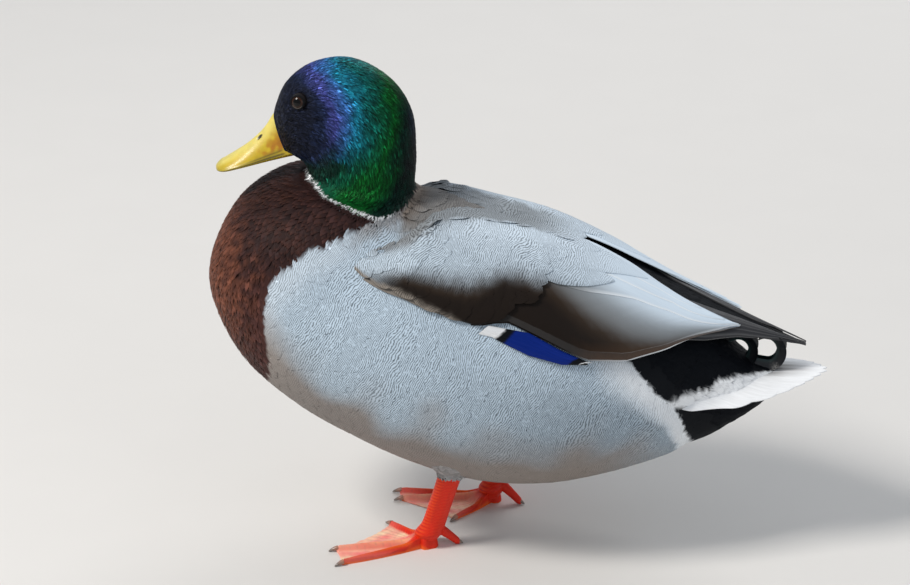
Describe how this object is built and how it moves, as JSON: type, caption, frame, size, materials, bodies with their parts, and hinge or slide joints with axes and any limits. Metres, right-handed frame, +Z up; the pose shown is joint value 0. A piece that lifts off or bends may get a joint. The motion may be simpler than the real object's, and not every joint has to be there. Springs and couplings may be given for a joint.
{
  "type": "mallard duck model",
  "caption": "Still life-size model of a mallard drake in breeding plumage, standing on both webbed feet with its neck drawn in and its wings folded.",
  "frame": {"origin": "on the floor, under the centre of the bird's box seen from above", "axes": "+Z up, +X from the bill towards the tail along the body, so the bird faces -X and its left side is -Y"},
  "size_m": [0.3949, 0.1666, 0.3199],
  "materials": {
    "head_green": "satin",
    "breast_chestnut": "matte",
    "flank_grey": "matte",
    "wing_grey": "matte",
    "tertial_brown": "matte",
    "primary_slate": "matte",
    "speculum_blue": "satin",
    "rump_black": "satin",
    "tail_white": "matte",
    "bill_yellow": "satin",
    "leg_orange": "satin",
    "claw_horn": "satin",
    "eye_dark": "gloss"
  },
  "bodies": {
    "root": {"head": "head_green", "neck": "head_green", "breast": "breast_chestnut", "trunk": "flank_grey", "rump": "rump_black", "tail": "tail_white", "bill_upper": "bill_yellow", "bill_lower": "bill_yellow", "eye_left": "eye_dark", "wing_left_coverts": "wing_grey", "wing_left_tertials": "tertial_brown", "wing_left_speculum": "speculum_blue", "wing_left_primaries": "primary_slate", "tail_curl_front_left": "rump_black", "tail_curl_rear_left": "rump_black", "leg_left_thigh": "flank_grey", "leg_left_shank": "leg_orange", "foot_left": "leg_orange", "toe_left_hind": "leg_orange", "claw_left_inner": "claw_horn", "claw_left_middle": "claw_horn", "claw_left_outer": "claw_horn", "claw_left_hind": "claw_horn", "eye_right": "eye_dark", "wing_right_coverts": "wing_grey", "wing_right_tertials": "tertial_brown", "wing_right_speculum": "speculum_blue", "wing_right_primaries": "primary_slate", "tail_curl_front_right": "rump_black", "tail_curl_rear_right": "rump_black", "leg_right_thigh": "flank_grey", "leg_right_shank": "leg_orange", "foot_right": "leg_orange", "toe_right_hind": "leg_orange", "claw_right_inner": "claw_horn", "claw_right_middle": "claw_horn", "claw_right_outer": "claw_horn", "claw_right_hind": "claw_horn"}
  },
  "joints": []
}
